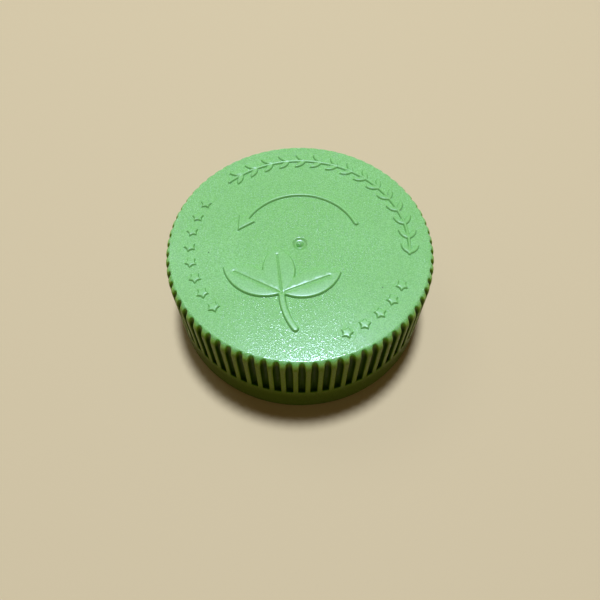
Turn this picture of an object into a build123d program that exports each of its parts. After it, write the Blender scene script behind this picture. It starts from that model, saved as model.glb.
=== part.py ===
from build123d import *
from math import cos, radians, sin
import os

# A moulded screw cap with a ribbed skirt, lying top up.
# Millimetres. The origin is the centre of the mouth's rim, on the surface that the cap lies on, and +Z is up.
# Angles are degrees around +Z from +X, so the front of the cap is at -90.

# Overall size
skirt_radius = 24.0
cap_height = 17.5
panel_thickness = 1.4

# Skirt outside: a plain band at the foot, ribs above it, and a rounded shoulder into the flat top.
# The shoulder is part of an ellipse: its two half axes, and the angle at which the top cuts it off
band_height = 6.3
foot_chamfer = 0.3
shoulder_width = 1.35
shoulder_rise = 2.2
shoulder_edge = 75.0
shoulder_facets = 3
crest_foot_radius = 23.97
crest_top_radius = 23.95
rib_count = 72
flute_width = 1.16
flute_root_radius = 23.0
flute_facets = 5
flute_reach = 3.0
front = -90.0

# Inside: a mouth a little wider than the threaded wall, one thread ridge, and a sealing bead
mouth_radius = 22.6
mouth_depth = 2.0
mouth_chamfer = 0.3
thread_wall_radius = 22.3
thread_pitch = 4.23
thread_turns = 1.25
thread_height = 1.0
thread_root_width = 1.9
thread_crest_width = 0.7
thread_root = 0.15
thread_start_height = 3.5
bead_radius = 19.6
bead_width = 1.1
bead_height = 0.55

# Gate mark near the middle of the top: a round dimple with the broken gate standing in it
gate_centre = (0.0, -0.25)
dimple_radius = 1.35
dimple_depth = 0.4
gate_radius = 0.55
gate_height = 0.35

# Raised marks on the top
star_radius = 1.12
star_waist = 0.62
star_height = 0.35
star_ring_radius = 19.43
star_step = 9.88
star_arcs = ((152.5, 8), (-67.8, 5))

wreath_radius = 19.35
wreath_start = -8.0
wreath_end = 133.0
wreath_pairs = 15
wreath_height = 0.35
wreath_stem_width = 0.5
wreath_leaf_length = 2.6
wreath_leaf_width = 0.95
wreath_leaf_lean = 38.0

arrow_radius = 11.0
arrow_start = 22.0
arrow_end = 150.0
arrow_width = 0.85
arrow_head_length = 3.2
arrow_head_width = 3.4
arrow_height = 0.4

sprig_foot = (-1.0, -17.2)
sprig_bend = (-2.6, -14.0)
sprig_fork = (-3.2, -10.6)
sprig_height = 0.5
sprig_stem_width = 1.1
sprig_vein_width = 0.4
sprig_vein_depth = 0.25
sprig_vein_reach = 0.8
# Each leaf: the direction it points in, its length and its width
sprig_leaves = ((152.0, 11.5, 5.4), (96.0, 9.6, 5.6), (22.0, 11.0, 5.2))

# How far the marks sink into the top so that they fuse with it
fuse = 0.2


def polar(radius, angle):
    return (radius * cos(radians(angle)), radius * sin(radians(angle)))


def leaf_outline(start, direction, length, width):
    """Two arcs from a leaf's stalk to its tip."""
    along = (cos(radians(direction)), sin(radians(direction)))
    tip = (start[0] + along[0] * length, start[1] + along[1] * length)
    middle = (start[0] + along[0] * length / 2, start[1] + along[1] * length / 2)
    across = (-along[1] * width / 2, along[0] * width / 2)
    ThreePointArc(start, (middle[0] + across[0], middle[1] + across[1]), tip)
    ThreePointArc(tip, (middle[0] - across[0], middle[1] - across[1]), start)


panel_underside = cap_height - panel_thickness
# The ribs' faces, from the band to the shoulder, and then the shoulder's arc in narrow facets
shoulder_points = [(crest_foot_radius, band_height)]
for facet in range(shoulder_facets + 1):
    angle = radians(shoulder_edge * facet / shoulder_facets)
    shoulder_points.append(
        (
            crest_top_radius - shoulder_width * (1 - cos(angle)),
            cap_height - shoulder_rise * (sin(radians(shoulder_edge)) - sin(angle)),
        )
    )

# One flute's section, from its root outwards: a half circle in narrow facets with straight sides
flute_round = flute_width / 2
flute_points = [(flute_reach, -flute_round), (flute_reach, flute_round)]
for facet in range(flute_facets + 1):
    inwards, sideways = polar(flute_round, 90 + 180 * facet / flute_facets)
    flute_points.append((flute_round + inwards, sideways))

top = Plane.XY.offset(cap_height - fuse)
wreath_stem = CenterArc((0, 0), wreath_radius, wreath_start, wreath_end - wreath_start)
arrow_shaft = CenterArc((0, 0), arrow_radius, arrow_start, arrow_end - arrow_start)
sprig_stem = ThreePointArc(sprig_foot, sprig_bend, sprig_fork)

with BuildPart() as cap:
    # Plain band at the foot
    Cylinder(skirt_radius, band_height, align=(Align.CENTER, Align.CENTER, Align.MIN))
    chamfer(cap.edges().sort_by(Axis.Z)[0], foot_chamfer)

    # Ribbed part above it: one flat face to each rib, drawn in over the shoulder
    for radius, height in shoulder_points:
        with BuildSketch(Plane.XY.offset(height)):
            RegularPolygon(radius, rib_count, major_radius=False)
    loft(ruled=True)

    # Hollow: chamfered mouth, threaded wall, and a sealing bead under the panel
    with BuildSketch(Plane.XZ):
        with BuildLine():
            Polyline(
                (0, 0),
                (mouth_radius + mouth_chamfer, 0),
                (mouth_radius, mouth_chamfer),
                (mouth_radius, mouth_depth),
                (thread_wall_radius, mouth_depth),
                (thread_wall_radius, panel_underside),
                (bead_radius + bead_width / 2, panel_underside),
                (bead_radius, panel_underside - bead_height),
                (bead_radius - bead_width / 2, panel_underside),
                (0, panel_underside),
                close=True,
            )
        make_face()
    revolve(axis=Axis.Z, mode=Mode.SUBTRACT)

    # Flutes: round-bottomed grooves that stand on the band and run out through the shoulder
    with BuildSketch(Plane.XY.offset(band_height)):
        with PolarLocations(flute_root_radius, rib_count, start_angle=front):
            Polygon(*flute_points, align=None)
    extrude(amount=cap_height, mode=Mode.SUBTRACT)

    # Thread ridge, a trapezoid swept up a right-hand helix and rooted in the wall
    with BuildLine(Plane.XY.offset(thread_start_height)) as thread_path:
        Helix(thread_pitch, thread_pitch * thread_turns, thread_wall_radius)
    ridge_plane = Plane(
        thread_path.line @ 0, x_dir=(-1, 0, 0), z_dir=thread_path.line % 0
    )
    with BuildSketch(ridge_plane):
        Polygon(
            (-thread_root, -thread_root_width / 2),
            (thread_height, -thread_crest_width / 2),
            (thread_height, thread_crest_width / 2),
            (-thread_root, thread_root_width / 2),
            align=None,
        )
    sweep(is_frenet=True)

    # Gate mark
    with BuildSketch(Plane.XY.offset(cap_height - dimple_depth)):
        with Locations(gate_centre):
            Circle(dimple_radius)
    extrude(amount=dimple_depth, mode=Mode.SUBTRACT)
    with BuildSketch(Plane.XY.offset(cap_height - dimple_depth - fuse)):
        with Locations(gate_centre):
            Circle(gate_radius)
    extrude(amount=fuse + gate_height)

    # Stars in two arcs, each with a point outwards
    star_points = [
        polar(star_radius * (star_waist if corner % 2 else 1), 36 * corner)
        for corner in range(10)
    ]
    with BuildSketch(top):
        for first_angle, count in star_arcs:
            with PolarLocations(
                star_ring_radius,
                count,
                start_angle=first_angle,
                angular_range=star_step * count,
            ):
                Polygon(*star_points, align=None)
    extrude(amount=fuse + star_height)

    # Wreath: a stem along the rim with leaves in pairs
    with BuildSketch(top):
        SlotArc(wreath_stem, wreath_stem_width)
        for number in range(wreath_pairs):
            along = wreath_start + (wreath_end - wreath_start) * number / wreath_pairs
            for lean in (-wreath_leaf_lean, wreath_leaf_lean):
                with BuildLine():
                    leaf_outline(
                        polar(wreath_radius, along),
                        along + 90 + lean,
                        wreath_leaf_length,
                        wreath_leaf_width,
                    )
                make_face()
    extrude(amount=fuse + wreath_height)

    # Turning arrow around the gate mark
    with BuildSketch(top):
        SlotArc(arrow_shaft, arrow_width)
        with Locations(Location((*polar(arrow_radius, arrow_end), 0), arrow_end + 90)):
            Polygon(
                (0, -arrow_head_width / 2),
                (arrow_head_length, 0),
                (0, arrow_head_width / 2),
                align=None,
            )
    extrude(amount=fuse + arrow_height)

    # Sprig: a bent stem and three leaves, with a vein sunk along each
    with BuildSketch(top):
        SlotArc(sprig_stem, sprig_stem_width)
        for direction, length, width in sprig_leaves:
            with BuildLine():
                leaf_outline(sprig_fork, direction, length, width)
            make_face()
    extrude(amount=fuse + sprig_height)
    with BuildSketch(Plane.XY.offset(cap_height + sprig_height - sprig_vein_depth)):
        for direction, length, width in sprig_leaves:
            vein_end = polar(length * sprig_vein_reach, direction)
            SlotCenterPoint(
                (sprig_fork[0] + vein_end[0] / 2, sprig_fork[1] + vein_end[1] / 2),
                (sprig_fork[0] + vein_end[0], sprig_fork[1] + vein_end[1]),
                sprig_vein_width,
            )
    extrude(amount=sprig_vein_depth, mode=Mode.SUBTRACT)
cap.part.label = "cap"

os.makedirs("parts", exist_ok=True)
export_step(cap.part, "parts/cap.step")
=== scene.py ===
# Looks of a moulded green screw cap, lying top up.
# The scene is in metres. Shapes are worked out in millimetres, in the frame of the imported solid.
# Angles are degrees around +Z from +X, so the front of the cap is at -90.
from functools import partial
from math import atan2, cos, degrees, hypot, pi, radians, sin

import bpy
import numpy as np
from mathutils import Matrix, Vector
from mathutils.geometry import delaunay_2d_cdt


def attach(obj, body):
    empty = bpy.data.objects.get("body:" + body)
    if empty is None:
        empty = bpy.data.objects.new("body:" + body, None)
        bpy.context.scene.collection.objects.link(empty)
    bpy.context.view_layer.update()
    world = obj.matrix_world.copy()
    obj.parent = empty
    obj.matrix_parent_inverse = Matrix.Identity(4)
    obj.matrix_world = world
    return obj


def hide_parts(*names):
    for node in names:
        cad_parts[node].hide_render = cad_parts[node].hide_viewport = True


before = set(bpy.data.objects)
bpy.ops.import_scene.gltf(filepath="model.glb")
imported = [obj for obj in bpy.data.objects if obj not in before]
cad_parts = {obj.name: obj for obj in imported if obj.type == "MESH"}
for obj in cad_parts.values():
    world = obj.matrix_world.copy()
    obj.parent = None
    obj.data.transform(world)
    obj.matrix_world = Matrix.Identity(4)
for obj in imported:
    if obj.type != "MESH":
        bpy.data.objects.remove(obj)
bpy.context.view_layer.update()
MM = 0.001

# Camera, as the photograph was taken: close by, from the front and above
CAMERA_DISTANCE = 0.1122
CAMERA_ELEVATION = 60.05
CAMERA_AZIMUTH = -0.84
CAMERA_ROLL = 0.06
CAMERA_AIM = Vector((0.00001, -0.00169, 0.0))
LENS_MM = 33.12
SENSOR_MM = 36.0

# Lamps: place and width in metres, power in watts, and colour
LAMPS = {
    "key": ((0.02, 0.215, 0.975), 0.16, 10.3, (0.8, 0.93, 1.35)),
    "window": ((-0.4, 0.49, 0.78), 0.4, 0.55, (0.85, 1.0, 1.2)),
}

# Surroundings: the colours that light the cap, and those that the camera and reflections see
FLOOR_SIZE = 3
FLOOR_GLOW = (0.14, 0.07, 0.02, 1)
FLOOR_SEEN = (0.67, 0.52, 0.255, 1)
WORLD_GLOW = (0.1, 0.073, 0.046, 1)
WORLD_SEEN = (0.6, 0.53, 0.4, 1)

# Skirt outside: a plain band at the foot, ribs above it, and a shoulder that is part of an ellipse
SKIRT_RADIUS = 24.0
CAP_HEIGHT = 17.5
BAND_HEIGHT = 6.3
BAND_ROUND = 0.1
FOOT_ROUND = 0.3
SHOULDER_WIDTH = 1.35
SHOULDER_RISE = 2.2
SHOULDER_EDGE = 75.0
SHOULDER_ROUND = 0.05
CREST_FOOT_RADIUS = 23.97
CREST_TOP_RADIUS = 23.95
RIB_COUNT = 72
RIB_ROUND = 0.25
RIB_MERGE = 0.03
FRONT = -90.0

# Flutes between the ribs. From the taper's start up to the top they grow this much shallower
FLUTE_WIDTH = 1.16
FLUTE_ROOT_RADIUS = 23.0
FLUTE_FILLET = 0.16
FLUTE_TAPER = 0.14
FLUTE_TAPER_START = 13.5

# Inside
PANEL_THICKNESS = 1.4
PANEL_FILLET = 0.45
MOUTH_RADIUS = 22.6
MOUTH_DEPTH = 2.0
MOUTH_CHAMFER = 0.3
THREAD_WALL_RADIUS = 22.3
THREAD_PITCH = 4.23
THREAD_TURNS = 1.25
THREAD_HEIGHT = 1.0
THREAD_ROOT_WIDTH = 1.9
THREAD_CREST_WIDTH = 0.7
THREAD_START_HEIGHT = 3.5
THREAD_TAPER = 9.0
BEAD_RADIUS = 19.6
BEAD_WIDTH = 1.1
BEAD_HEIGHT = 0.55

# Gate mark: the radius and the depth below the top, from the rim of its dimple to the broken gate
GATE_CENTRE = (0.0, -0.25)
GATE_SECTION = (
    (1.52, 0.0), (1.44, 0.01), (1.37, 0.045), (1.3, 0.1), (1.22, 0.17), (1.12, 0.24), (1.0, 0.29),
    (0.86, 0.32), (0.74, 0.33), (0.66, 0.3), (0.58, 0.22), (0.52, 0.11), (0.46, 0.01), (0.38, -0.07),
    (0.27, -0.11), (0.13, -0.12),
)
GATE_RIM = GATE_SECTION[0][0]
GATE_STUB_RADIUS = 0.7
GATE_STUB_BLEND = 0.2
GATE_STUB_SHIFT = (-0.05, 0.05)

# Raised marks on the top
STAR_RADIUS = 1.1
STAR_WAIST = 0.62
STAR_HEIGHT = 0.35
STAR_RING_RADIUS = 19.43
STAR_STEP = 9.88
STAR_ARCS = ((152.5, 8), (-67.8, 5))
WREATH_RADIUS = 19.35
WREATH_START = -8.0
WREATH_END = 133.0
WREATH_PAIRS = 15
WREATH_HEIGHT = 0.35
WREATH_STEM_WIDTH = 0.5
WREATH_LEAF_LENGTH = 2.6
WREATH_LEAF_WIDTH = 0.95
WREATH_LEAF_LEAN = 38.0
ARROW_RADIUS = 11.0
ARROW_START = 22.0
ARROW_END = 150.0
ARROW_WIDTH = 0.85
ARROW_HEAD_LENGTH = 3.2
ARROW_HEAD_WIDTH = 3.4
ARROW_HEIGHT = 0.4
SPRIG_FOOT = (-1.0, -17.2)
SPRIG_BEND = (-2.6, -14.0)
SPRIG_FORK = (-3.2, -10.6)
SPRIG_HEIGHT = 0.5
SPRIG_STEM_WIDTH = 1.1
SPRIG_VEIN_DEPTH = 0.2
SPRIG_VEIN_HALF_WIDTH = 0.16
SPRIG_VEIN_REACH = 0.8
# Each leaf: the direction it points in, its length and its width
SPRIG_LEAVES = ((152.0, 11.5, 5.4), (96.0, 9.6, 5.6), (22.0, 11.0, 5.2))

# A mark's foot spreads past its outline. Inwards from there a sloping wall takes up a share of the height,
# a rounded edge follows, and the last share is a low crown. Marks that meet have a rounded corner.
MARK_SPREAD = 0.07
MARK_WALL_REACH = 0.14
MARK_WALL = 0.68
MARK_ROUND_REACH = 0.34
MARK_CROWN = 0.12
MARK_CROWN_REACH = 0.5
MARK_MERGE = 0.12
# This power makes the edge start at the wall's slope, and the foot's slope is for one millimetre of height
EDGE_POWER = MARK_WALL / MARK_WALL_REACH * (MARK_ROUND_REACH - MARK_WALL_REACH) / (1 - MARK_WALL)
FOOT_SLOPE = (1 - MARK_CROWN) * MARK_WALL / MARK_WALL_REACH + MARK_CROWN / MARK_CROWN_REACH

# Faces down to the first depth below the top take the top's material. Down to the second depth it is
# only the faces that point upwards at least this much.
TOP_EDGE_DEPTH = 0.02
TOP_SHOULDER_DEPTH = 0.6
TOP_SHOULDER_UPWARDS = 0.76

# Greens: a plain, a lighter and a darker tone, for the top and, yellower as painted warm light, for the
# plastic lower down
TOP_TONES = ((0.262, 0.582, 0.155, 1), (0.289, 0.62, 0.181, 1), (0.175, 0.448, 0.098, 1))
PAINTED_WARM_SIDE_TONES = ((0.36, 0.65, 0.09, 1), (0.39, 0.68, 0.105, 1), (0.265, 0.53, 0.055, 1))
# Painted highlight: the tone of pale specks on the top's ground, which stand in for glints
PAINTED_GLINT_TONE = (0.46, 0.78, 0.4, 1)
# Painted shade over the gate's dimple
GATE_SHADE_TONE = (0.09, 0.32, 0.07, 1)
# Painted shade in the corner at the foot of each mark
FOOT_SHADE_TONE = (0.07, 0.27, 0.05, 1)
# Painted shade in the flutes
FLUTE_SHADE_TONE = (0.042, 0.135, 0.0, 1)
# Painted shade low on the skirt
BAND_SHADE_TONE = (0.04, 0.09, 0.004, 1)
DUST_TONE = (0.02, 0.05, 0.02, 1)
# The most that each of these covers the green
MOTTLE_SHARE = 0.65
PAINTED_GLINT_SHARE = 0.5
GATE_SHADE_SHARE = 0.45
FOOT_SHADE_SHARE = 0.45
DUST_SHARE = 0.8
SHADE_SHARE = 0.6
# Where the specks of dust lie and how they fade outwards, and the heights between which the painted shade low
# on the skirt fades
DUST = ((-16.06, -1.92), (13.82, -9.5))
DUST_REACH = (0.06, 0.2)
SHADE_HEIGHTS = (4.0, 9.0)

# Fineness of the noises, for each millimetre, and depths of the relief that two of them give
CLOUD_SCALE = 0.07
RIPPLE_SCALE = 1.1
GRAIN_SCALE = 4.6
GLINT_SCALE = 5.2
RIPPLE_DEPTH = 0.02
RIPPLE_STRENGTH = 0.3
FROST_DEPTH = 0.024

# The plastic's shine, and the light in it: its share, how far it travels, and how far each colour goes
PLASTIC_IOR = 1.5
SMOOTH_ROUGHNESS = (0.27, 0.27, 0.27, 1)
FROSTED_ROUGHNESS = (0.15, 0.15, 0.15, 1)
TOP_SPECULAR = 0.5
SIDE_SPECULAR = 0.02
TOP_GLOW = (0.4, 0.6)
SIDE_GLOW = (1.0, 1.8)
GLOW_COLOUR = (0.75, 1.0, 0.4)


def polar(radius, angle):
    return (radius * cos(radians(angle)), radius * sin(radians(angle)))


def unit(vectors):
    return vectors / np.maximum(np.linalg.norm(vectors, axis=-1, keepdims=True), 1e-12)


def eased(share):
    """A share from 0 to 1 that starts and ends gently."""
    return share * share * (3 - 2 * share)


def round_max(first, second, radius):
    """Where two solids overlap, with a rounded edge. Each is given by how far outside it a point is."""
    over = np.hypot(np.maximum(radius + first, 0), np.maximum(radius + second, 0))
    return np.minimum(-radius, np.maximum(first, second)) + over


def round_min(first, second, radius):
    """Two solids joined, with a rounded corner."""
    return -round_max(-first, -second, radius)


class Mesh:
    """Corners, faces and the normal at each corner of each face."""

    def __init__(self):
        self.points = []
        self.faces = []
        self.normals = []
        self.count = 0

    def add_points(self, points):
        """Takes corners in millimetres and returns their numbers."""
        first = self.count
        self.points.append(np.asarray(points, float))
        self.count += len(points)
        return first + np.arange(len(points))

    def add_faces(self, faces, normals):
        """Faces of one size, as corner numbers, and their corners' normals."""
        self.faces.append(np.asarray(faces, int))
        self.normals.append(np.asarray(normals, float))

    def add_rows(self, numbers, normals):
        """Quads between closed rows. The outside is on the right of a row's way, with the rows going up."""
        after = np.roll(numbers, -1, axis=1)
        turned = np.roll(normals, -1, axis=1)
        quads = np.stack((numbers[:-1], after[:-1], after[1:], numbers[1:]), axis=-1)
        corners = np.stack((normals[:-1], turned[:-1], turned[1:], normals[1:]), axis=-2)
        self.add_faces(quads.reshape(-1, 4), corners.reshape(-1, 4, 3))

    def side_faces(self):
        """Whether each face takes the second material: all but the top and the shoulder's upper part."""
        points = np.concatenate(self.points)
        upwards = np.concatenate([normals.mean(axis=1) for normals in self.normals])[:, 2]
        height = np.concatenate([points[faces].mean(axis=1) for faces in self.faces])[:, 2]
        turned_away = (upwards < TOP_SHOULDER_UPWARDS) & (height < CAP_HEIGHT - TOP_EDGE_DEPTH)
        return turned_away | (height < CAP_HEIGHT - TOP_SHOULDER_DEPTH)

    def build(self, name):
        points = np.concatenate(self.points) * MM
        faces = [face for block in self.faces for face in block.tolist()]
        mesh = bpy.data.meshes.new(name)
        mesh.from_pydata(points.tolist(), [], faces)
        mesh.update()
        mesh.shade_smooth()
        normals = np.concatenate([block.reshape(-1, 3) for block in self.normals])
        mesh.normals_split_custom_set(normals.tolist())
        mesh.polygons.foreach_set("material_index", self.side_faces().astype(np.int32))
        piece = bpy.data.objects.new(name, mesh)
        bpy.context.scene.collection.objects.link(piece)
        return piece


# Skirt: rays from points inside the wall find its outside, with every edge rounded
HALF_PITCH = radians(180 / RIB_COUNT)
FLUTE_ROUND = FLUTE_WIDTH / 2
FLUTE_CENTRE = FLUTE_ROOT_RADIUS + FLUTE_ROUND
SHOULDER_HEIGHT = CAP_HEIGHT - SHOULDER_RISE * sin(radians(SHOULDER_EDGE))
SHOULDER_CENTRE = CREST_TOP_RADIUS - SHOULDER_WIDTH
CREST_DRAFT = (CREST_FOOT_RADIUS - CREST_TOP_RADIUS) / (SHOULDER_HEIGHT - BAND_HEIGHT)

# Columns of rays lie this far to either side of a flute's middle. The nearer ones are parallel, and the
# others turn until the last, at the middle of the rib, points straight outwards.
COLUMN_RADIUS = 23.6
COLUMN_SIDES = (0.13, 0.25, 0.36, 0.45, 0.52, 0.565, 0.6, 0.64, 0.69, 0.78)
COLUMN_PARALLEL = 0.62

# Rows of rays: the radius and height that they start from, and the angles that they rise at
FOOT_START = (SKIRT_RADIUS - FOOT_ROUND, FOOT_ROUND)
FOOT_ANGLES = (-90, -67.5, -45, -22.5, 0)
LEDGE_START = (22.9, 5.5)
LEDGE_ANGLES = (27, 31, 34, 36.5, 39, 42, 48, 56, 62, 66, 69, 72, 75, 78)
WALL_RADIUS = 22.6
WALL_HEIGHTS = (10.8, 12.8, 14.5)
SHOULDER_START = (22.4, 16.0)
SHOULDER_ANGLES = (
    -36, -22, -8, 4, 15, 25, 33, 40, 46, 51, 55.5, 59.5, 63, 66, 68.5, 70.3, 71.8, 73, 74.2, 76, 80,
)
RAY_REACH = 6.0
RAY_HALVINGS = 40
SKIRT_SLOPE_STEP = 0.003


def skirt_distance(outwards, sideways, height):
    """How far a point is outside the skirt, in the frame of the nearest flute."""
    facing = outwards * cos(HALF_PITCH) + np.abs(sideways) * sin(HALF_PITCH)
    below = np.clip(SHOULDER_HEIGHT - height, 0, SHOULDER_HEIGHT - BAND_HEIGHT)
    above = np.clip((height - SHOULDER_HEIGHT) / SHOULDER_RISE, 0, 0.99)
    inset = np.sqrt(1 - above**2)
    lean = np.hypot(1, SHOULDER_WIDTH / SHOULDER_RISE * above / inset)
    face = (facing - SHOULDER_CENTRE - SHOULDER_WIDTH * inset - below * CREST_DRAFT) / lean
    ribs = round_max(face, height - CAP_HEIGHT, SHOULDER_ROUND)
    runout = np.clip((height - FLUTE_TAPER_START) / (CAP_HEIGHT - FLUTE_TAPER_START), 0, 1)
    slot = np.hypot(np.maximum(FLUTE_CENTRE - outwards, 0), sideways) - FLUTE_ROUND + FLUTE_TAPER * runout**2
    flute = round_max(slot, BAND_HEIGHT - height, FLUTE_FILLET)
    ribs = round_max(ribs, -flute, RIB_ROUND)
    radius = np.hypot(outwards, sideways)
    band = round_max(radius - SKIRT_RADIUS, height - BAND_HEIGHT, BAND_ROUND)
    return round_max(round_min(band, ribs, RIB_MERGE), -height, FOOT_ROUND)


def skirt_rays():
    """Each row's starting radius and height and the angle that its rays rise at."""
    rows = [(*FOOT_START, angle) for angle in FOOT_ANGLES]
    rows += [(*LEDGE_START, angle) for angle in LEDGE_ANGLES]
    rows += [(WALL_RADIUS, height, 0) for height in WALL_HEIGHTS]
    rows += [(*SHOULDER_START, angle) for angle in SHOULDER_ANGLES]
    return np.array(rows)


def skirt_columns():
    """How far each column is to the side of its flute's middle, and the angle in radians that it turns by."""
    half = COLUMN_RADIUS * sin(HALF_PITCH)
    sides = np.array([-side for side in reversed(COLUMN_SIDES)] + [0.0] + list(COLUMN_SIDES) + [half])
    share = np.clip((np.abs(sides) - COLUMN_PARALLEL) / (half - COLUMN_PARALLEL), 0, 1)
    return sides, np.sign(sides) * HALF_PITCH * eased(share)


def turned_to_rib(values, rib):
    """Places or directions beside the first flute, in its frame, turned to those beside another one."""
    outwards, sideways, height = values
    c, s = polar(1, FRONT + 360 * rib / RIB_COUNT)
    return np.stack((outwards * c - sideways * s, outwards * s + sideways * c, height), axis=-1)


def add_skirt(mesh):
    """The outside, from foot to flat top. Returns its first and last rows, and the last row's places."""
    sides, turn = skirt_columns()
    base = np.sqrt(COLUMN_RADIUS**2 - sides**2)
    start, level, rise = (column[:, None] for column in skirt_rays().T)
    rise = np.radians(rise)

    def place(travel):
        reach = start + travel * np.cos(rise) - COLUMN_RADIUS
        return base + reach * np.cos(turn), sides + reach * np.sin(turn), level + travel * np.sin(rise)

    near = np.zeros((len(start), len(sides)))
    far = np.full_like(near, RAY_REACH)
    for _ in range(RAY_HALVINGS):
        middle = (near + far) / 2
        inside = skirt_distance(*place(middle)) < 0
        near = np.where(inside, middle, near)
        far = np.where(inside, far, middle)
    flute = np.array(place(near))
    slope = np.zeros_like(flute)
    for axis in range(3):
        step = SKIRT_SLOPE_STEP * (np.arange(3) == axis)[:, None, None]
        slope[axis] = skirt_distance(*(flute + step)) - skirt_distance(*(flute - step))
    points = np.concatenate([turned_to_rib(flute, rib) for rib in range(RIB_COUNT)], axis=1)
    normals = unit(np.concatenate([turned_to_rib(slope, rib) for rib in range(RIB_COUNT)], axis=1))
    normals[0] = (0, 0, -1)
    normals[-1] = (0, 0, 1)
    numbers = mesh.add_points(points.reshape(-1, 3)).reshape(points.shape[:2])
    mesh.add_rows(numbers, normals)
    return numbers[0], numbers[-1], points[-1]


# Inside: rows round the axis, with the thread's ridge raised on the wall
INSIDE_COLUMNS = 144
THREAD_ROWS = 62
PANEL_RINGS = (16.0, 8.0, 0.6)
PANEL_UNDERSIDE = CAP_HEIGHT - PANEL_THICKNESS
# The bead's section, in shares of its half width and of its height
BEAD_SECTION = (
    (1.25, 0), (1, 0.04), (0.75, 0.22), (0.3, 0.86), (0, 1),
    (-0.3, 0.86), (-0.75, 0.22), (-1, 0.04), (-1.25, 0),
)


def thread_ridge(angle, height):
    """How far the thread stands out of the wall. It starts at the angle 0, and both its ends fade out."""
    ridge = np.zeros_like(height)
    for turn in (0, 1):
        along = angle / 360 + turn
        off = np.abs(height - THREAD_START_HEIGHT - THREAD_PITCH * along)
        slope = (THREAD_ROOT_WIDTH / 2 - off) / ((THREAD_ROOT_WIDTH - THREAD_CREST_WIDTH) / 2)
        ends = np.clip(np.minimum(along, THREAD_TURNS - along) * 360 / THREAD_TAPER, 0, 1)
        ridge = np.maximum(ridge, THREAD_HEIGHT * np.clip(slope, 0, 1) * eased(ends))
    return ridge


def inside_section():
    """Radius and height along the inside, from the mouth's edge to near the middle of the panel."""
    section = [
        (MOUTH_RADIUS + MOUTH_CHAMFER, 0.0),
        (MOUTH_RADIUS + 0.16, 0.11),
        (MOUTH_RADIUS + 0.04, 0.27),
        (MOUTH_RADIUS, 0.45),
        (MOUTH_RADIUS, MOUTH_DEPTH - 0.25),
        (MOUTH_RADIUS - 0.05, MOUTH_DEPTH - 0.05),
        (MOUTH_RADIUS - 0.2, MOUTH_DEPTH),
        (THREAD_WALL_RADIUS, MOUTH_DEPTH + 0.12),
    ]
    for height in np.linspace(MOUTH_DEPTH + 0.3, PANEL_UNDERSIDE - 0.6, THREAD_ROWS):
        section.append((THREAD_WALL_RADIUS, float(height)))
    for angle in (0, 30, 60, 90):
        across, up = polar(PANEL_FILLET, angle)
        section.append((THREAD_WALL_RADIUS - PANEL_FILLET + across, PANEL_UNDERSIDE - PANEL_FILLET + up))
    for off, drop in BEAD_SECTION:
        section.append((BEAD_RADIUS + BEAD_WIDTH / 2 * off, PANEL_UNDERSIDE - BEAD_HEIGHT * drop))
    section += [(radius, PANEL_UNDERSIDE) for radius in PANEL_RINGS]
    return np.array(section)


def add_inside(mesh, foot):
    """The mouth, the threaded wall and the panel's underside, joined to the skirt's foot."""
    section = inside_section()
    angle = 360 * np.arange(INSIDE_COLUMNS) / INSIDE_COLUMNS
    radius, height = (column[:, None] + 0 * angle for column in section.T)
    threaded = (height > MOUTH_DEPTH + 0.05) & (height < PANEL_UNDERSIDE - PANEL_FILLET - 0.01)
    radius = np.where(threaded, radius - thread_ridge(angle + 0 * height, height), radius)
    turn = np.radians(angle)
    points = np.stack((radius * np.cos(turn), radius * np.sin(turn), height), axis=-1)
    around = np.roll(points, -1, axis=1) - np.roll(points, 1, axis=1)
    onwards = np.gradient(points, axis=0)
    normals = unit(np.cross(onwards, around))
    # At the mouth's edge the normals lean halfway between the foot and the mouth
    normals[0] = unit(points[0] * (-1, -1, 0) + (0, 0, -MOUTH_RADIUS))
    normals[np.abs(section[:, 1] - PANEL_UNDERSIDE) < 1e-6] = (0, 0, -1)
    numbers = mesh.add_points(points.reshape(-1, 3)).reshape(points.shape[:2])
    mesh.add_rows(numbers[:, ::-1], normals[:, ::-1])
    centre = mesh.add_points([(0, 0, PANEL_UNDERSIDE)])[0]
    last = numbers[-1]
    fan = np.stack((np.roll(last, -1), last, np.full_like(last, centre)), axis=-1)
    mesh.add_faces(fan, np.tile((0, 0, -1.0), (len(fan), 3, 1)))
    add_foot_ring(mesh, foot, numbers[0])


def add_foot_ring(mesh, outer, inner):
    """The flat ring that the cap lies on: many outer corners, from the front on, joined to few inner ones."""
    share = len(outer) // len(inner)
    first = int(round(FRONT / 360 * len(inner)))
    faces = []
    for k in range(len(outer)):
        after = outer[(k + 1) % len(outer)]
        step = (k + share // 2) // share
        next_step = (k + 1 + share // 2) // share
        here = inner[(first + step) % len(inner)]
        faces.append((after, outer[k], here))
        if next_step != step:
            faces.append((after, here, inner[(first + next_step) % len(inner)]))
    mesh.add_faces(faces, np.tile((0, 0, -1.0), (len(faces), 3, 1)))


# Marks: each function gives how far points are outside an outline
FAR_AWAY = 5.0


def polygon_distance(x, y, corners):
    nearest = np.full(np.shape(x), 1e9)
    inside = np.zeros(np.shape(x), bool)
    for (ax, ay), (bx, by) in zip(corners, corners[1:] + corners[:1]):
        edge_x, edge_y = bx - ax, by - ay
        along = ((x - ax) * edge_x + (y - ay) * edge_y) / (edge_x**2 + edge_y**2)
        along = np.clip(along, 0, 1)
        nearest = np.minimum(nearest, np.hypot(x - ax - edge_x * along, y - ay - edge_y * along))
        if ay != by:
            crosses = ((ay > y) != (by > y)) & (x < ax + edge_x * (y - ay) / edge_y)
            inside ^= crosses
    return np.where(inside, -nearest, nearest)


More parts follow.
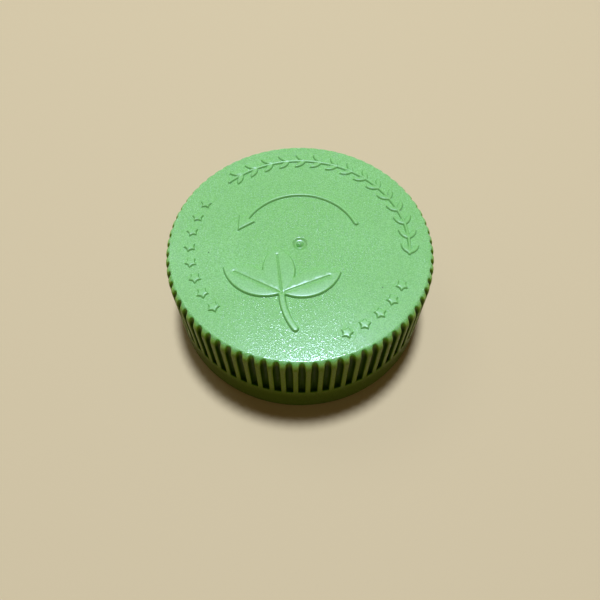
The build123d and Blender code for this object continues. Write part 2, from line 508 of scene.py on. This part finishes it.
def leaf_distance(x, y, foot, direction, length, width):
    """A pointed leaf between two arcs."""
    half = length / 2
    across_x, across_y = polar(half, direction)
    middle = (foot[0] + across_x, foot[1] + across_y)
    c, s = polar(1, direction)
    along = np.abs((x - middle[0]) * c + (y - middle[1]) * s)
    across = np.abs(-(x - middle[0]) * s + (y - middle[1]) * c)
    arc = (half**2 + (width / 2) ** 2) / width
    offset = arc - width / 2
    tip = np.hypot(across, along - half)
    side = np.hypot(across + offset, along) - arc
    return np.where((along - half) * offset > across * half, tip, side)


def arc_distance(x, y, centre, radius, start, end, width):
    """A round-ended band along an arc that runs counter-clockwise."""
    x = x - centre[0]
    y = y - centre[1]
    past_end = (np.degrees(np.arctan2(y, x)) - start) % 360 > end - start
    start_x, start_y = polar(radius, start)
    end_x, end_y = polar(radius, end)
    off_ends = np.minimum(np.hypot(x - start_x, y - start_y), np.hypot(x - end_x, y - end_y))
    return np.where(past_end, off_ends, np.abs(np.hypot(x, y) - radius)) - width / 2


def circle_through(first, second, third):
    """The centre and radius of the circle through three points."""
    (ax, ay), (bx, by), (cx, cy) = first, second, third
    area = 2 * (ax * (by - cy) + bx * (cy - ay) + cx * (ay - by))
    x = ((ax**2 + ay**2) * (by - cy) + (bx**2 + by**2) * (cy - ay) + (cx**2 + cy**2) * (ay - by)) / area
    y = ((ax**2 + ay**2) * (cx - bx) + (bx**2 + by**2) * (ax - cx) + (cx**2 + cy**2) * (bx - ax)) / area
    return (x, y), hypot(ax - x, ay - y)


# Outlines: each has a centre, how far it reaches from there, and its distance function
def star_outlines():
    outlines = []
    for first, count in STAR_ARCS:
        for number in range(count):
            angle = first + STAR_STEP * number
            cx, cy = polar(STAR_RING_RADIUS, angle)
            corners = []
            for corner in range(10):
                px, py = polar(STAR_RADIUS * (STAR_WAIST if corner % 2 else 1), angle + 36 * corner)
                corners.append((cx + px, cy + py))
            outlines.append(((cx, cy), STAR_RADIUS, partial(polygon_distance, corners=corners)))
    return outlines


def wreath_outlines():
    stem = partial(
        arc_distance,
        centre=(0, 0), radius=WREATH_RADIUS, start=WREATH_START, end=WREATH_END, width=WREATH_STEM_WIDTH,
    )
    outlines = [((0, 0), WREATH_RADIUS + 1, stem)]
    for number in range(WREATH_PAIRS):
        along = WREATH_START + (WREATH_END - WREATH_START) * number / WREATH_PAIRS
        foot = polar(WREATH_RADIUS, along)
        for lean in (-WREATH_LEAF_LEAN, WREATH_LEAF_LEAN):
            leaf = partial(
                leaf_distance,
                foot=foot, direction=along + 90 + lean, length=WREATH_LEAF_LENGTH, width=WREATH_LEAF_WIDTH,
            )
            outlines.append((foot, WREATH_LEAF_LENGTH, leaf))
    return outlines


def arrow_outlines():
    shaft = partial(
        arc_distance,
        centre=(0, 0), radius=ARROW_RADIUS, start=ARROW_START, end=ARROW_END, width=ARROW_WIDTH,
    )
    end = polar(ARROW_RADIUS, ARROW_END)
    corners = []
    for ahead, across in ((0, -ARROW_HEAD_WIDTH / 2), (ARROW_HEAD_LENGTH, 0), (0, ARROW_HEAD_WIDTH / 2)):
        ax, ay = polar(ahead, ARROW_END + 90)
        bx, by = polar(across, ARROW_END + 180)
        corners.append((end[0] + ax + bx, end[1] + ay + by))
    head = partial(polygon_distance, corners=corners)
    return [((0, 0), ARROW_RADIUS + 1, shaft), (end, ARROW_HEAD_LENGTH + 1, head)]


def sprig_outlines():
    centre, radius = circle_through(SPRIG_FOOT, SPRIG_BEND, SPRIG_FORK)
    start, end = (degrees(atan2(y - centre[1], x - centre[0])) for x, y in (SPRIG_FORK, SPRIG_FOOT))
    if (end - start) % 360 > 180:
        start, end = end, start
    end = start + (end - start) % 360
    stem = partial(arc_distance, centre=centre, radius=radius, start=start, end=end, width=SPRIG_STEM_WIDTH)
    outlines = [(SPRIG_BEND, 6, stem)]
    for direction, length, width in SPRIG_LEAVES:
        leaf = partial(leaf_distance, foot=SPRIG_FORK, direction=direction, length=length, width=width)
        outlines.append((SPRIG_FORK, length + 1, leaf))
    return outlines


# Groups of marks, each of its own height
MARK_GROUPS = (star_outlines(), wreath_outlines(), arrow_outlines(), sprig_outlines())
MARK_HEIGHTS = np.array((STAR_HEIGHT, WREATH_HEIGHT, ARROW_HEIGHT, SPRIG_HEIGHT))
SPRIG_GROUP = 3


def joined(first, second):
    """The nearer of two distances, with the corner between them rounded."""
    close = np.maximum(MARK_MERGE - np.abs(first - second), 0)
    return np.minimum(first, second) - close**2 / (4 * MARK_MERGE)


def mark_distances(x, y):
    """How far each point is outside each group of marks."""
    groups = []
    for outlines in MARK_GROUPS:
        nearest = np.full(np.shape(x), FAR_AWAY)
        for _, _, distance in outlines:
            nearest = joined(nearest, distance(x, y))
        groups.append(nearest)
    return groups


def vein_distance(x, y):
    """How far each point is from the middle line of the nearest vein."""
    nearest = np.full(np.shape(x), FAR_AWAY)
    for direction, length, _ in SPRIG_LEAVES:
        c, s = polar(1, direction)
        along = (x - SPRIG_FORK[0]) * c + (y - SPRIG_FORK[1]) * s
        along = np.clip(along, 0, length * SPRIG_VEIN_REACH)
        off = np.hypot(x - SPRIG_FORK[0] - along * c, y - SPRIG_FORK[1] - along * s)
        nearest = np.minimum(nearest, off)
    return nearest


def mark_profile(depth):
    """The share of its height that a mark has at this depth inside its foot."""
    wall = MARK_WALL * np.clip(depth / MARK_WALL_REACH, 0, 1)
    rounding = 1 - np.clip((depth - MARK_WALL_REACH) / (MARK_ROUND_REACH - MARK_WALL_REACH), 0, 1)
    edge = wall + (1 - MARK_WALL) * (1 - rounding**EDGE_POWER)
    return (1 - MARK_CROWN) * edge + MARK_CROWN * (1 - np.exp(-depth / MARK_CROWN_REACH))


def mark_height(x, y):
    """The height of the marks' surface over the top at points inside their outlines."""
    distances = mark_distances(x, y)
    nearest = np.argmin(distances, axis=0)
    depth = np.maximum(MARK_SPREAD - np.min(distances, axis=0), 0)
    height = MARK_HEIGHTS[nearest] * mark_profile(depth)
    # The veins fade out towards the leaves' edges
    fade = np.clip((depth - 0.2) / 0.4, 0, 1)
    vein = np.exp(-((vein_distance(x, y) / SPRIG_VEIN_HALF_WIDTH) ** 2))
    return height - np.where(nearest == SPRIG_GROUP, SPRIG_VEIN_DEPTH * vein * fade, 0)


# Contours of the marks are traced on a square grid and become edges of the top's triangles
GRID_STEP = 0.06
GRID_REACH = 22.5
CONTOUR_DEPTHS = (0, 0.14, 0.18, 0.23, 0.28, 0.34, 0.5, 0.9, 1.6, 2.3)
VEIN_WIDTHS = (0.07, 0.16, 0.3)
VEIN_EDGE = 0.25
FEWEST_POINTS = 8
MARK_SLOPE_STEP = 0.004


def sampled_marks():
    """The grid's axis, and at each of its points the distance to the nearest mark."""
    axis = np.arange(-GRID_REACH, GRID_REACH + GRID_STEP / 2, GRID_STEP)
    fields = []
    for outlines in MARK_GROUPS:
        field = np.full((len(axis), len(axis)), FAR_AWAY)
        for centre, reach, distance in outlines:
            low = [int(np.searchsorted(axis, c - reach - 1)) for c in centre]
            high = [int(np.searchsorted(axis, c + reach + 1)) for c in centre]
            window = (slice(low[0], high[0]), slice(low[1], high[1]))
            x, y = np.meshgrid(axis[window[0]], axis[window[1]], indexing="ij")
            field[window] = joined(field[window], distance(x, y))
        fields.append(field)
    return axis, np.min(fields, axis=0)


def contour_loops(axis, field, level):
    """Closed loops of points along which a sampled field has this value."""
    value = field - level
    below = value < 0
    count = len(axis)
    # Where the contour crosses the grid's lines, by a number for each stretch of line
    places = {}
    for sideways in (0, 1):
        first = value[:-1, :] if sideways == 0 else value[:, :-1]
        second = value[1:, :] if sideways == 0 else value[:, 1:]
        i, j = np.nonzero((first < 0) != (second < 0))
        share = first[i, j] / (first[i, j] - second[i, j])
        x = axis[i] + (share * GRID_STEP if sideways == 0 else 0)
        y = axis[j] + (share * GRID_STEP if sideways == 1 else 0)
        keys = sideways * count * count + i * count + j
        places.update(zip(keys.tolist(), zip(x.tolist(), y.tolist())))
    # In each square the crossings are linked, in pairs where there are four
    links = {}
    side = count * count
    corners = below[:-1, :-1].astype(int) + below[1:, :-1] + below[1:, 1:] + below[:-1, 1:]
    for i, j in zip(*(numbers.tolist() for numbers in np.nonzero((corners > 0) & (corners < 4)))):
        around = (i * count + j, side + (i + 1) * count + j, i * count + j + 1, side + i * count + j)
        crossed = [key for key in around if key in places]
        if len(crossed) == 4:
            middle = value[i : i + 2, j : j + 2].mean() < 0
            a, b, c, d = crossed
            pairs = ((a, b), (c, d)) if middle == below[i, j] else ((d, a), (b, c))
        else:
            pairs = (tuple(crossed),)
        for first, second in pairs:
            links.setdefault(first, []).append(second)
            links.setdefault(second, []).append(first)
    loops = []
    seen = set()
    for start in sorted(links):
        if start in seen:
            continue
        loop = []
        here = start
        while here is not None:
            seen.add(here)
            loop.append(places[here])
            here = next((key for key in links[here] if key not in seen), None)
        loops.append(np.array(loop))
    return loops


def thinned(loop, tolerance=0.003, longest=0.45):
    """Leaves out points of a closed loop that lie close to the chord across them."""
    kept = [0]
    at = 0
    closed = np.concatenate((loop, loop[:1]))
    while at < len(loop) - 1:
        reach = at + 2
        while reach <= len(loop):
            chord = closed[reach] - closed[at]
            length = hypot(*chord)
            between = closed[at + 1 : reach] - closed[at]
            off = np.abs(chord[0] * between[:, 1] - chord[1] * between[:, 0]) / max(length, 1e-9)
            if length > longest or off.max() > tolerance:
                break
            reach += 1
        at = reach - 1
        if at < len(loop):
            kept.append(at)
    return loop[kept]


def top_loops(rim_points):
    """Closed loops that the top's triangles follow: its rim, the gate mark's rim and the marks' contours."""
    axis, field = sampled_marks()
    contours = []
    for depth in CONTOUR_DEPTHS:
        contours += contour_loops(axis, field, MARK_SPREAD - depth)
    veins = vein_distance(*np.meshgrid(axis, axis, indexing="ij"))
    for width in VEIN_WIDTHS:
        contours += contour_loops(axis, np.maximum(veins - width, field + VEIN_EDGE), 0)
    loops = [thinned(loop) for loop in contours if len(loop) >= FEWEST_POINTS]
    return [rim_points[:, :2], gate_ring()] + loops


def rim_radius(points, angles):
    """The radius of the flat top's rim at some angles in radians."""
    angle = np.arctan2(points[:, 1], points[:, 0])
    order = np.argsort(angle)
    radius = np.hypot(points[:, 0], points[:, 1])
    angle = np.concatenate((angle[order][-1:] - 2 * pi, angle[order], angle[order][:1] + 2 * pi))
    radius = np.concatenate((radius[order][-1:], radius[order], radius[order][:1]))
    return np.interp(angles, angle, radius)


def add_top(mesh, rim_numbers, rim_points):
    """The flat top, its gate mark and its raised marks, cut so that they share their edges."""
    corners = []
    edges = []
    for loop in top_loops(rim_points):
        first = len(corners)
        corners.extend(Vector((float(x), float(y))) for x, y in loop)
        edges.extend((first + k, first + (k + 1) % len(loop)) for k in range(len(loop)))
    flat, _, triangles, sources, _, _ = delaunay_2d_cdt(corners, edges, [], 0, 1e-7, True)
    place = np.array([tuple(point) for point in flat])
    triangles = np.array(triangles)
    x, y = place[triangles].mean(axis=1).T
    marked = np.min(mark_distances(x, y), axis=0) < MARK_SPREAD
    in_rim = np.hypot(x, y) < rim_radius(rim_points, np.arctan2(y, x))
    off_gate = np.hypot(x - GATE_CENTRE[0], y - GATE_CENTRE[1]) > GATE_RIM * cos(pi / GATE_COLUMNS)
    ground = triangles[in_rim & off_gate & ~marked]
    raised = triangles[in_rim & off_gate & marked]
    # Corner numbers in the mesh for the flat ground's corners. Those on the rim are the skirt's own.
    low = np.full(len(place), -1)
    for number, origin in enumerate(sources):
        rim = [k for k in origin if k < len(rim_numbers)]
        if rim:
            low[number] = rim_numbers[rim[0]]
    used = np.unique(ground)
    fresh = used[low[used] < 0]
    low[fresh] = mesh.add_points(np.column_stack((place[fresh], np.full(len(fresh), CAP_HEIGHT))))
    mesh.add_faces(low[ground], np.tile((0.0, 0.0, 1.0), (len(ground), 3, 1)))
    add_marks(mesh, place, raised, low)
    add_gate(mesh, place, low)


def add_marks(mesh, place, triangles, low):
    """The marks' surfaces. At their feet they share the ground's corners and have their walls' slope."""
    tops = np.unique(triangles)
    on_foot = low[tops] >= 0
    x, y = place[tops].T
    height = mark_height(x, y)
    step = MARK_SLOPE_STEP
    around = ((x + step, y), (x - step, y), (x, y + step), (x, y - step))
    heights = [mark_height(*near) for near in around]
    slope = np.column_stack((heights[0] - heights[1], heights[2] - heights[3])) / (2 * step)
    distances = [np.min(mark_distances(*near), axis=0) for near in around]
    outward = unit(np.column_stack((distances[0] - distances[1], distances[2] - distances[3])))
    group = np.argmin(mark_distances(x, y), axis=0)
    foot_slope = -outward * (MARK_HEIGHTS[group] * FOOT_SLOPE)[:, None]
    slope = np.where(on_foot[:, None], foot_slope, slope)
    high = np.full(len(place), -1)
    high[tops[on_foot]] = low[tops[on_foot]]
    fresh = tops[~on_foot]
    high[fresh] = mesh.add_points(np.column_stack((place[fresh], CAP_HEIGHT + height[~on_foot])))
    normals = np.zeros((len(place), 3))
    normals[tops] = unit(np.column_stack((-slope, np.ones(len(tops)))))
    mesh.add_faces(high[triangles], normals[triangles])


# Gate mark: rows round its own axis
GATE_COLUMNS = 64


def gate_ring():
    """The rim of the gate mark's dimple."""
    angle = 2 * pi * np.arange(GATE_COLUMNS) / GATE_COLUMNS
    return GATE_RIM * np.column_stack((np.cos(angle), np.sin(angle))) + GATE_CENTRE


def gate_row(radius, depth):
    """A ring of the dimple or of the gate in it, which broke off unevenly, so it leans and its rim wavers."""
    angle = 2 * pi * np.arange(GATE_COLUMNS) / GATE_COLUMNS
    stub = np.clip((GATE_STUB_RADIUS - radius) / GATE_STUB_BLEND, 0, 1)
    waver = 1 + 0.1 * stub * np.sin(2 * angle + 0.6) + 0.06 * stub * np.sin(5 * angle + 2.1)
    bowl = 1 + 0.012 * (1 - stub) * np.sin(3 * angle + 1.0)
    lean = stub * (0.1 * np.sin(angle - 2.0) - 0.02 + 0.03 * np.sin(4 * angle))
    reach = radius * waver * bowl
    x = GATE_CENTRE[0] + reach * np.cos(angle) + GATE_STUB_SHIFT[0] * stub
    y = GATE_CENTRE[1] + reach * np.sin(angle) + GATE_STUB_SHIFT[1] * stub
    return np.column_stack((x, y, CAP_HEIGHT - depth + lean * np.clip(0.4 - depth, 0, 1) * 1.6))


def add_gate(mesh, place, low):
    """The dimple in the middle of the top, and the broken gate standing in it."""
    outer = []
    for x, y in gate_ring():
        off = np.hypot(place[:, 0] - x, place[:, 1] - y)
        off[low < 0] = 1e9
        outer.append(low[int(np.argmin(off))])
    rows = [np.column_stack((gate_ring(), np.full(GATE_COLUMNS, CAP_HEIGHT)))]
    rows += [gate_row(radius, depth) for radius, depth in GATE_SECTION[1:]]
    points = np.array(rows)
    around = np.roll(points, -1, axis=1) - np.roll(points, 1, axis=1)
    inwards = np.gradient(points, axis=0)
    normals = unit(np.cross(around, inwards))
    normals[0] = (0, 0, 1)
    inner = mesh.add_points(points[1:].reshape(-1, 3)).reshape(-1, GATE_COLUMNS)
    mesh.add_rows(np.concatenate(([outer], inner)), normals)
    centre = mesh.add_points([points[-1].mean(axis=0)])[0]
    last = inner[-1]
    fan = np.stack((last, np.roll(last, -1), np.full_like(last, centre)), axis=-1)
    up = np.tile((0, 0, 1.0), (GATE_COLUMNS, 1))
    mesh.add_faces(fan, np.stack((normals[-1], np.roll(normals[-1], -1, axis=0), up), axis=1))


# Materials
def new_material(name):
    material = bpy.data.materials.new(name)
    material.use_nodes = True
    tree = material.node_tree
    return material, tree, tree.nodes["Principled BSDF"]


def add_node(tree, kind, sockets=None, **settings):
    """A shader node, with values or links for some of its inputs."""
    node = tree.nodes.new(kind)
    for name, value in settings.items():
        setattr(node, name, value)
    for name, value in (sockets or {}).items():
        if isinstance(value, bpy.types.NodeSocket):
            tree.links.new(value, node.inputs[name])
        else:
            node.inputs[name].default_value = value
    return node


def maths(tree, operation, first, second=0.0, clamp=False):
    settings = {"operation": operation, "use_clamp": clamp}
    return add_node(tree, "ShaderNodeMath", {0: first, 1: second}, **settings).outputs[0]


def product(tree, first, second):
    return maths(tree, "MULTIPLY", first, second)


def distance_from(tree, place, point):
    sockets = {0: place, 1: point}
    return add_node(tree, "ShaderNodeVectorMath", sockets, operation="DISTANCE").outputs["Value"]


def span(tree, value, low, high, start=0.0, end=1.0, smooth=True):
    """Carries a value from one span to another, and holds it at the ends."""
    settings = {"interpolation_type": "SMOOTHSTEP" if smooth else "LINEAR"}
    sockets = {"Value": value, "From Min": low, "From Max": high, "To Min": start, "To Max": end}
    return add_node(tree, "ShaderNodeMapRange", sockets, **settings).outputs["Result"]


def blended(tree, share, first, second):
    """A mix of two colours. The node takes them at its inputs 6 and 7 and gives theirs at output 2."""
    return add_node(tree, "ShaderNodeMix", {0: share, 6: first, 7: second}, data_type="RGBA").outputs[2]


def noise(tree, place, scale, detail):
    sockets = {"Vector": place, "Scale": scale, "Detail": detail}
    return add_node(tree, "ShaderNodeTexNoise", sockets).outputs[0]


class Surface:
    """Where a shaded point lies on the cap, in millimetres, as values in a shader's tree."""

    def __init__(self, tree):
        metres = add_node(tree, "ShaderNodeTexCoord").outputs["Object"]
        scaled = add_node(tree, "ShaderNodeVectorMath", {0: metres, "Scale": 1 / MM}, operation="SCALE")
        self.place = scaled.outputs["Vector"]
        axes = add_node(tree, "ShaderNodeSeparateXYZ", {"Vector": self.place}).outputs
        self.height = axes["Z"]
        self.flat = add_node(tree, "ShaderNodeCombineXYZ", {"X": axes["X"], "Y": axes["Y"]}).outputs[0]
        self.radius = distance_from(tree, self.flat, (0, 0, 0))
        # The ground of the top, and its fine relief
        on_top = span(tree, self.height, CAP_HEIGHT - 0.35, CAP_HEIGHT - 0.1)
        off_marks = span(tree, self.height, CAP_HEIGHT + 0.02, CAP_HEIGHT + 0.12, 1.0, 0.0)
        self.ground = product(tree, on_top, off_marks)
        self.grain = noise(tree, self.place, GRAIN_SCALE, 1.5)
        self.glints = noise(tree, self.place, GLINT_SCALE, 0.0)


def below_crest(tree, at):
    """How far a point is sunk below the ribs' crests."""
    above = span(tree, at.height, SHOULDER_HEIGHT, SHOULDER_HEIGHT + SHOULDER_RISE, smooth=False)
    inset = maths(tree, "SQRT", maths(tree, "SUBTRACT", 1.0, product(tree, above, above)))
    drawn_in = CREST_FOOT_RADIUS - CREST_TOP_RADIUS
    draft = span(tree, at.height, BAND_HEIGHT, SHOULDER_HEIGHT, drawn_in, 0.0, smooth=False)
    crest = maths(tree, "ADD", product(tree, inset, SHOULDER_WIDTH), draft)
    return maths(tree, "SUBTRACT", maths(tree, "ADD", crest, SHOULDER_CENTRE), at.radius)


def uneven_green(tree, at):
    """The plastic's own tones. Lower down they are yellower: painted light, for the warm light that comes
    through the plastic and up from the floor.
    """
    lower = span(tree, at.height, CAP_HEIGHT - 0.8, CAP_HEIGHT - 0.05, 1.0, 0.0)
    plain, light, dark = (blended(tree, lower, top, side) for top, side in zip(TOP_TONES, PAINTED_WARM_SIDE_TONES))
    clouds = span(tree, noise(tree, at.place, CLOUD_SCALE, 3.0), 0.3, 0.7)
    colour = blended(tree, clouds, plain, light)
    mottle = product(tree, span(tree, at.grain, 0.35, 0.65), MOTTLE_SHARE)
    colour = blended(tree, mottle, colour, dark)
    # Painted highlight: pale specks on the ground of the top stand in for glints
    pale = product(tree, span(tree, at.glints, 0.58, 0.76, 0.0, PAINTED_GLINT_SHARE), at.ground)
    return blended(tree, pale, colour, PAINTED_GLINT_TONE)


def over_gate_mark(tree, at, colour):
    """Painted shade over the gate's dimple, where the skin is thin."""
    off_gate = distance_from(tree, at.flat, (*GATE_CENTRE, 0.0))
    sunk = span(tree, at.height, CAP_HEIGHT - 0.2, CAP_HEIGHT + 0.05, 1.0, 0.2)
    dimple = product(tree, span(tree, off_gate, 1.05, 1.42, GATE_SHADE_SHARE, 0.0), sunk)
    return blended(tree, dimple, colour, GATE_SHADE_TONE)


def over_marks(tree, at, colour):
    """Painted shade in the corner at the foot of each mark, and two specks of dust on the top."""
    above_foot = span(tree, at.height, CAP_HEIGHT + 0.1, CAP_HEIGHT + 0.22, FOOT_SHADE_SHARE, 0.0)
    foot = product(tree, span(tree, at.height, CAP_HEIGHT, CAP_HEIGHT + 0.04), above_foot)
    colour = blended(tree, foot, colour, FOOT_SHADE_TONE)
    for x, y in DUST:
        off_speck = distance_from(tree, at.place, (x, y, CAP_HEIGHT))
        colour = blended(tree, span(tree, off_speck, *DUST_REACH, DUST_SHARE, 0.0), colour, DUST_TONE)
    return colour


def over_skirt(tree, at, colour):
    """Painted shade in the flutes, but not on the ledges at their feet nor at their upper ends, and painted
    shade on the skirt's foot.
    """
    sunk = below_crest(tree, at)
    above_band = span(tree, at.height, BAND_HEIGHT - 0.4, BAND_HEIGHT - 0.15)
    flute = product(tree, span(tree, sunk, 0.0, 0.26), above_band)
    flute = product(tree, flute, span(tree, at.height, CAP_HEIGHT - 2.9, CAP_HEIGHT - 0.5, 1.0, 0.0))
    low_down = span(tree, at.height, BAND_HEIGHT + 0.1, BAND_HEIGHT + 0.5, 1.0, 0.0)
    ledge = product(tree, low_down, span(tree, sunk, -0.02, 0.12, 1.0, 0.0))
    flute = maths(tree, "SUBTRACT", flute, ledge, clamp=True)
    # The painted shade is a little lighter higher up and along the flutes' roots
    higher = span(tree, at.height, BAND_HEIGHT + 0.3, BAND_HEIGHT + 3.1, 1.0, 0.93)
    root = span(tree, sunk, 0.55, 0.75, 1.0, 0.88)
    painted_flute_shade = product(tree, product(tree, flute, higher), root)
    colour = blended(tree, painted_flute_shade, colour, FLUTE_SHADE_TONE)
    # Painted shade darkens the skirt towards its foot
    return blended(tree, span(tree, at.height, *SHADE_HEIGHTS, SHADE_SHARE, 0.0), colour, BAND_SHADE_TONE)


def fine_relief(tree, at):
    """A faint ripple all over, and frosting on the ground of the top, with a few deeper specks that glint."""
    ripple = add_node(tree, "ShaderNodeBump", {
        "Height": noise(tree, at.place, RIPPLE_SCALE, 3.0),
        "Strength": RIPPLE_STRENGTH,
        "Distance": RIPPLE_DEPTH * MM,
    })
    frost = add_node(tree, "ShaderNodeBump", {
        "Height": maths(tree, "ADD", at.grain, span(tree, at.glints, 0.58, 0.78)),
        "Strength": at.ground,
        "Distance": FROST_DEPTH * MM,
        "Normal": ripple.outputs[0],
    })
    return frost.outputs[0]


def moulded_green(name, specular, glow_share, glow_reach):
    """Green plastic. The ground of the top is frosted; the marks standing on it and the skirt are smooth."""
    material, tree, shader = new_material(name)
    at = Surface(tree)
    colour = uneven_green(tree, at)
    for layer in (over_gate_mark, over_marks, over_skirt):
        colour = layer(tree, at, colour)
    tree.links.new(colour, shader.inputs["Base Color"])
    roughness = blended(tree, at.ground, SMOOTH_ROUGHNESS, FROSTED_ROUGHNESS)
    tree.links.new(roughness, shader.inputs["Roughness"])
    tree.links.new(fine_relief(tree, at), shader.inputs["Normal"])
    shader.inputs["IOR"].default_value = PLASTIC_IOR
    shader.inputs["Specular IOR Level"].default_value = specular
    shader.inputs["Subsurface Weight"].default_value = glow_share
    shader.inputs["Subsurface Radius"].default_value = GLOW_COLOUR
    shader.inputs["Subsurface Scale"].default_value = glow_reach * MM
    return material


def in_sight(tree):
    """1 where the camera sees something, straight or in a reflection, and 0 where it only gives light."""
    path = add_node(tree, "ShaderNodeLightPath")
    seen = maths(tree, "MAXIMUM", path.outputs["Is Camera Ray"], path.outputs["Is Glossy Ray"])
    return maths(tree, "MAXIMUM", seen, path.outputs["Is Transmission Ray"])


def pale_floor():
    """Pale where the camera and reflections see it, and the warm tone of a table where it lights the cap."""
    material, tree, shader = new_material("floor")
    colour = blended(tree, in_sight(tree), FLOOR_GLOW, FLOOR_SEEN)
    tree.links.new(colour, shader.inputs["Base Color"])
    shader.inputs["Roughness"].default_value = 0.7
    shader.inputs["Specular IOR Level"].default_value = 0.2
    return material


def pale_world():
    """A dim warm light from all round, and a pale background."""
    world = bpy.data.worlds.new("world")
    world.use_nodes = True
    tree = world.node_tree
    colour = blended(tree, in_sight(tree), WORLD_GLOW, WORLD_SEEN)
    tree.links.new(colour, tree.nodes["Background"].inputs["Color"])
    return world


def add_camera():
    elevation = radians(CAMERA_ELEVATION)
    turn = Matrix.Rotation(radians(CAMERA_AZIMUTH), 3, "Z")
    back = turn @ Vector((0, -cos(elevation), sin(elevation)))
    right = turn @ Vector((1, 0, 0))
    up = back.cross(right)
    axes = Matrix((right, up, back)).transposed() @ Matrix.Rotation(radians(CAMERA_ROLL), 3, "Z")
    data = bpy.data.cameras.new("camera")
    data.sensor_width = SENSOR_MM
    data.lens = LENS_MM
    data.clip_start = 0.005
    data.clip_end = 50
    camera = bpy.data.objects.new("camera", data)
    camera.matrix_world = Matrix.Translation(turn @ CAMERA_AIM + back * CAMERA_DISTANCE) @ axes.to_4x4()
    bpy.context.scene.collection.objects.link(camera)
    bpy.context.scene.camera = camera


def add_lamp(name, place, size, watts, colour):
    """A round soft lamp that points at the cap."""
    data = bpy.data.lights.new(name, "AREA")
    data.shape = "DISK"
    data.size = size
    data.energy = watts
    data.color = colour
    lamp = bpy.data.objects.new(name, data)
    lamp.location = place
    lamp.rotation_euler = (-Vector(place)).to_track_quat("-Z", "Y").to_euler()
    bpy.context.scene.collection.objects.link(lamp)


# The cap, one moulding
form = Mesh()
foot_numbers, rim_numbers, rim_points = add_skirt(form)
add_inside(form, foot_numbers)
add_top(form, rim_numbers, rim_points)
cap = form.build("cap_moulding")
cap.data.materials.append(moulded_green("green_top", TOP_SPECULAR, *TOP_GLOW))
cap.data.materials.append(moulded_green("green_side", SIDE_SPECULAR, *SIDE_GLOW))
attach(cap, "root")
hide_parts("cap")

# What it stands on, and its light
bpy.ops.mesh.primitive_plane_add(size=FLOOR_SIZE)
floor = bpy.context.object
floor.name = "floor"
floor.data.materials.append(pale_floor())
add_camera()
for lamp_name, lamp_settings in LAMPS.items():
    add_lamp(lamp_name, *lamp_settings)
bpy.context.scene.world = pale_world()
bpy.context.scene.view_settings.view_transform = "Standard"
